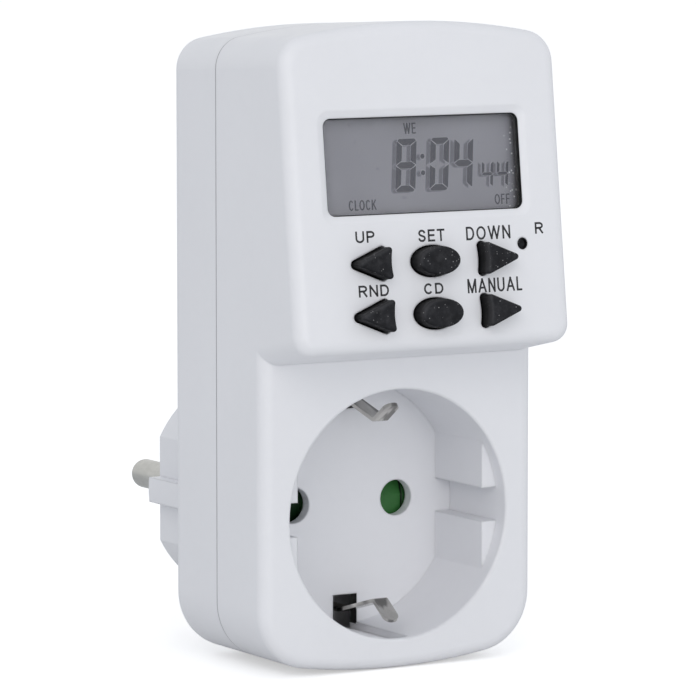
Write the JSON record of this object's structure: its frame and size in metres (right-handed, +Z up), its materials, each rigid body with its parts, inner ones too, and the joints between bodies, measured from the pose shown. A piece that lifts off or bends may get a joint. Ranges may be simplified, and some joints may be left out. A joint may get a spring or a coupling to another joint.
{
  "type": "plug-in timer",
  "caption": "Digital plug-in timer: stepped housing with a leaning panel of keys and a display, an earthed socket recess in front and an earthed pin plug behind.",
  "frame": {"origin": "centre of the plug's end face, midway between the pins", "axes": "+X to the right of someone who looks at the display, +Y into the wall along the pins, +Z up"},
  "size_m": [0.0496, 0.0823, 0.102],
  "materials": {
    "housing": "satin",
    "pin_metal": "satin nickel",
    "clear_lens": "clear",
    "lcd": "grey liquid crystal",
    "dark_plastic": "matt",
    "key_rubber": "matt",
    "film": "matt film",
    "board": "solder mask",
    "screw_steel": "zinc plated",
    "black_epoxy": "moulded",
    "tin": "drawn can",
    "relay_case": "moulded",
    "capacitor_box": "moulded",
    "varistor_blue": "dipped",
    "resistor_body": "lacquered",
    "cable_grey": "matt",
    "shutter_green": "moulded",
    "spring_steel": "rolled",
    "brass": "rolled",
    "lead_brown": "insulated",
    "lead_blue": "insulated",
    "clip_nickel": "nickel plated"
  },
  "bodies": {
    "timer": {"front_housing": "housing", "rear_cover": "housing", "plug_pin_left": "pin_metal", "plug_pin_right": "pin_metal", "display_lens": "clear_lens", "lcd_glass": "lcd", "lcd_frame": "dark_plastic", "lcd_connector": "key_rubber", "key_guide": "dark_plastic", "dome_sheet": "film", "control_board": "board", "board_screws": "screw_steel", "controller_chip": "black_epoxy", "quartz_crystal": "tin", "backup_battery": "tin", "power_board": "board", "power_screws": "screw_steel", "relay": "relay_case", "film_capacitor": "capacitor_box", "smoothing_capacitor": "black_epoxy", "varistor": "varistor_blue", "dropper_resistor": "resistor_body", "rectifier_diode_1": "black_epoxy", "rectifier_diode_2": "black_epoxy", "rectifier_diode_3": "black_epoxy", "rectifier_diode_4": "black_epoxy", "driver_transistor": "black_epoxy", "ribbon_cable": "cable_grey", "shutter_spring": "spring_steel", "contact_carrier": "dark_plastic", "carrier_screws": "screw_steel", "live_contact": "brass", "neutral_contact": "brass", "live_tab": "brass", "live_lead": "lead_brown", "load_lead": "lead_brown", "neutral_lead": "lead_blue", "earth_strap": "clip_nickel", "case_screws": "screw_steel"},
    "up_key": {"up_key": "key_rubber"},
    "set_key": {"set_key": "key_rubber"},
    "down_key": {"down_key": "key_rubber"},
    "random_key": {"random_key": "key_rubber"},
    "countdown_key": {"countdown_key": "key_rubber"},
    "manual_key": {"manual_key": "key_rubber"},
    "reset_button": {"reset_button": "key_rubber"},
    "shutter": {"shutter": "shutter_green"},
    "earth_clip_top": {"earth_clip_top": "clip_nickel"},
    "earth_clip_bottom": {"earth_clip_bottom": "clip_nickel"}
  },
  "joints": [
    {"name": "up_press", "type": "slide", "parent": "timer", "child": "up_key", "axis": [0, 0.993, -0.1184], "range_m": [0, 0.001], "stiffness_N_per_m": 800},
    {"name": "set_press", "type": "slide", "parent": "timer", "child": "set_key", "axis": [0, 0.993, -0.1184], "range_m": [0, 0.001], "stiffness_N_per_m": 800},
    {"name": "down_press", "type": "slide", "parent": "timer", "child": "down_key", "axis": [0, 0.993, -0.1184], "range_m": [0, 0.001], "stiffness_N_per_m": 800},
    {"name": "random_press", "type": "slide", "parent": "timer", "child": "random_key", "axis": [0, 0.993, -0.1184], "range_m": [0, 0.001], "stiffness_N_per_m": 800},
    {"name": "countdown_press", "type": "slide", "parent": "timer", "child": "countdown_key", "axis": [0, 0.993, -0.1184], "range_m": [0, 0.001], "stiffness_N_per_m": 800},
    {"name": "manual_press", "type": "slide", "parent": "timer", "child": "manual_key", "axis": [0, 0.993, -0.1184], "range_m": [0, 0.001], "stiffness_N_per_m": 800},
    {"name": "reset_press", "type": "slide", "parent": "timer", "child": "reset_button", "axis": [0, 0.993, -0.1184], "range_m": [0, 0.0007], "stiffness_N_per_m": 600},
    {"name": "shutter_turn", "type": "hinge", "parent": "timer", "child": "shutter", "pos_m": [0, -0.0289, 0.0005], "axis": [0, 1, 0], "range_deg": [0, 40], "stiffness_Nm_per_rad": 0.02, "deforming": ["shutter_spring"]},
    {"name": "earth_clip_top_flex", "type": "hinge", "parent": "timer", "child": "earth_clip_top", "pos_m": [0, -0.0275, 0.0179], "axis": [-1, 0, 0], "range_deg": [0, 8], "stiffness_Nm_per_rad": 0.8},
    {"name": "earth_clip_bottom_flex", "type": "hinge", "parent": "timer", "child": "earth_clip_bottom", "pos_m": [0, -0.0275, -0.0169], "axis": [1, 0, 0], "range_deg": [0, 8], "stiffness_Nm_per_rad": 0.8}
  ]
}
